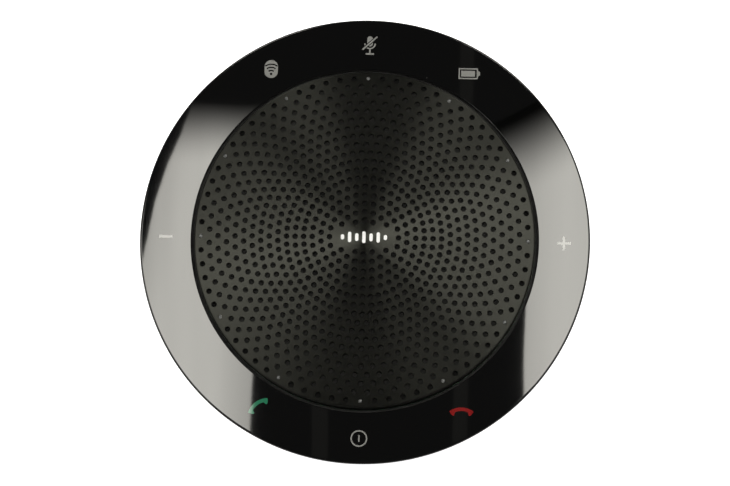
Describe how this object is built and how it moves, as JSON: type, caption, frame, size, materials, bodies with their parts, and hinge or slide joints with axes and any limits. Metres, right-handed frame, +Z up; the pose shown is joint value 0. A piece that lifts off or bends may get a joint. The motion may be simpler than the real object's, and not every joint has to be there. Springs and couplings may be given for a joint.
{
  "type": "conference speakerphone",
  "caption": "Round puck-shaped speakerphone: domed perforated metal grille, gloss black touch-key ring, bowl housing over a cord groove, and a rubber foot ring.",
  "frame": {"origin": "centre of the foot ring's resting face", "axes": "+Z up out of the grille, -Y towards the front, where the power key is, +X to the right seen from above"},
  "size_m": [0.12, 0.12, 0.0325],
  "materials": {
    "gloss_black": "gloss",
    "dark_spun_metal": "satin",
    "silver_mark": "satin",
    "clear_plastic": "gloss",
    "black_cloth": "matte",
    "black_plastic": "matte",
    "grey_plastic": "matte",
    "black_rubber": "matte",
    "foam": "matte",
    "circuit_board": "satin",
    "chip_black": "satin",
    "led_white": "gloss",
    "steel": "satin",
    "screw_steel": "satin",
    "black_steel": "satin",
    "nickel": "polished",
    "copper": "gloss",
    "cone_paper": "matte",
    "spider_cloth": "matte",
    "battery_foil": "satin",
    "wire_red": "satin",
    "ribbon_amber": "gloss",
    "label_silver": "satin"
  },
  "bodies": {
    "speakerphone": {"touch_ring": "gloss_black", "grille": "dark_spun_metal", "centre_mark": "silver_mark", "light_ring": "clear_plastic", "dust_mesh": "black_cloth", "grille_carrier": "black_plastic", "carrier_screws": "screw_steel", "gap_seal": "black_rubber", "ring_board": "circuit_board", "ring_leds": "led_white", "ring_screws": "screw_steel", "inner_chassis": "black_plastic", "speaker_gasket": "foam", "speaker_basket": "black_steel", "speaker_surround": "black_rubber", "speaker_spider": "spider_cloth", "speaker_magnet": "nickel", "pole_plate": "steel", "speaker_yoke": "nickel", "speaker_screws": "screw_steel", "speaker_leads": "wire_red", "main_board": "circuit_board", "board_components": "chip_black", "shield_cans": "steel", "board_screws": "screw_steel", "ring_ribbon": "ribbon_amber", "battery": "battery_foil", "battery_pad": "foam", "battery_lead": "wire_red", "microphone": "nickel", "microphone_boot": "black_rubber", "headset_jack": "black_plastic", "lower_housing": "grey_plastic", "housing_screws": "screw_steel", "cable_hub": "grey_plastic", "cable_gland": "black_rubber", "base_plate": "grey_plastic", "base_screws": "screw_steel", "foot_ring": "black_rubber", "rating_label": "label_silver"},
    "cone_assembly": {"speaker_cone": "cone_paper", "dust_cap": "cone_paper", "voice_coil": "copper"}
  },
  "joints": [
    {"name": "cone_travel", "type": "slide", "parent": "speakerphone", "child": "cone_assembly", "axis": [0, 0, 1], "range_m": [-0.001, 0.001], "stiffness_N_per_m": 1000, "deforming": ["speaker_surround", "speaker_spider"]}
  ]
}
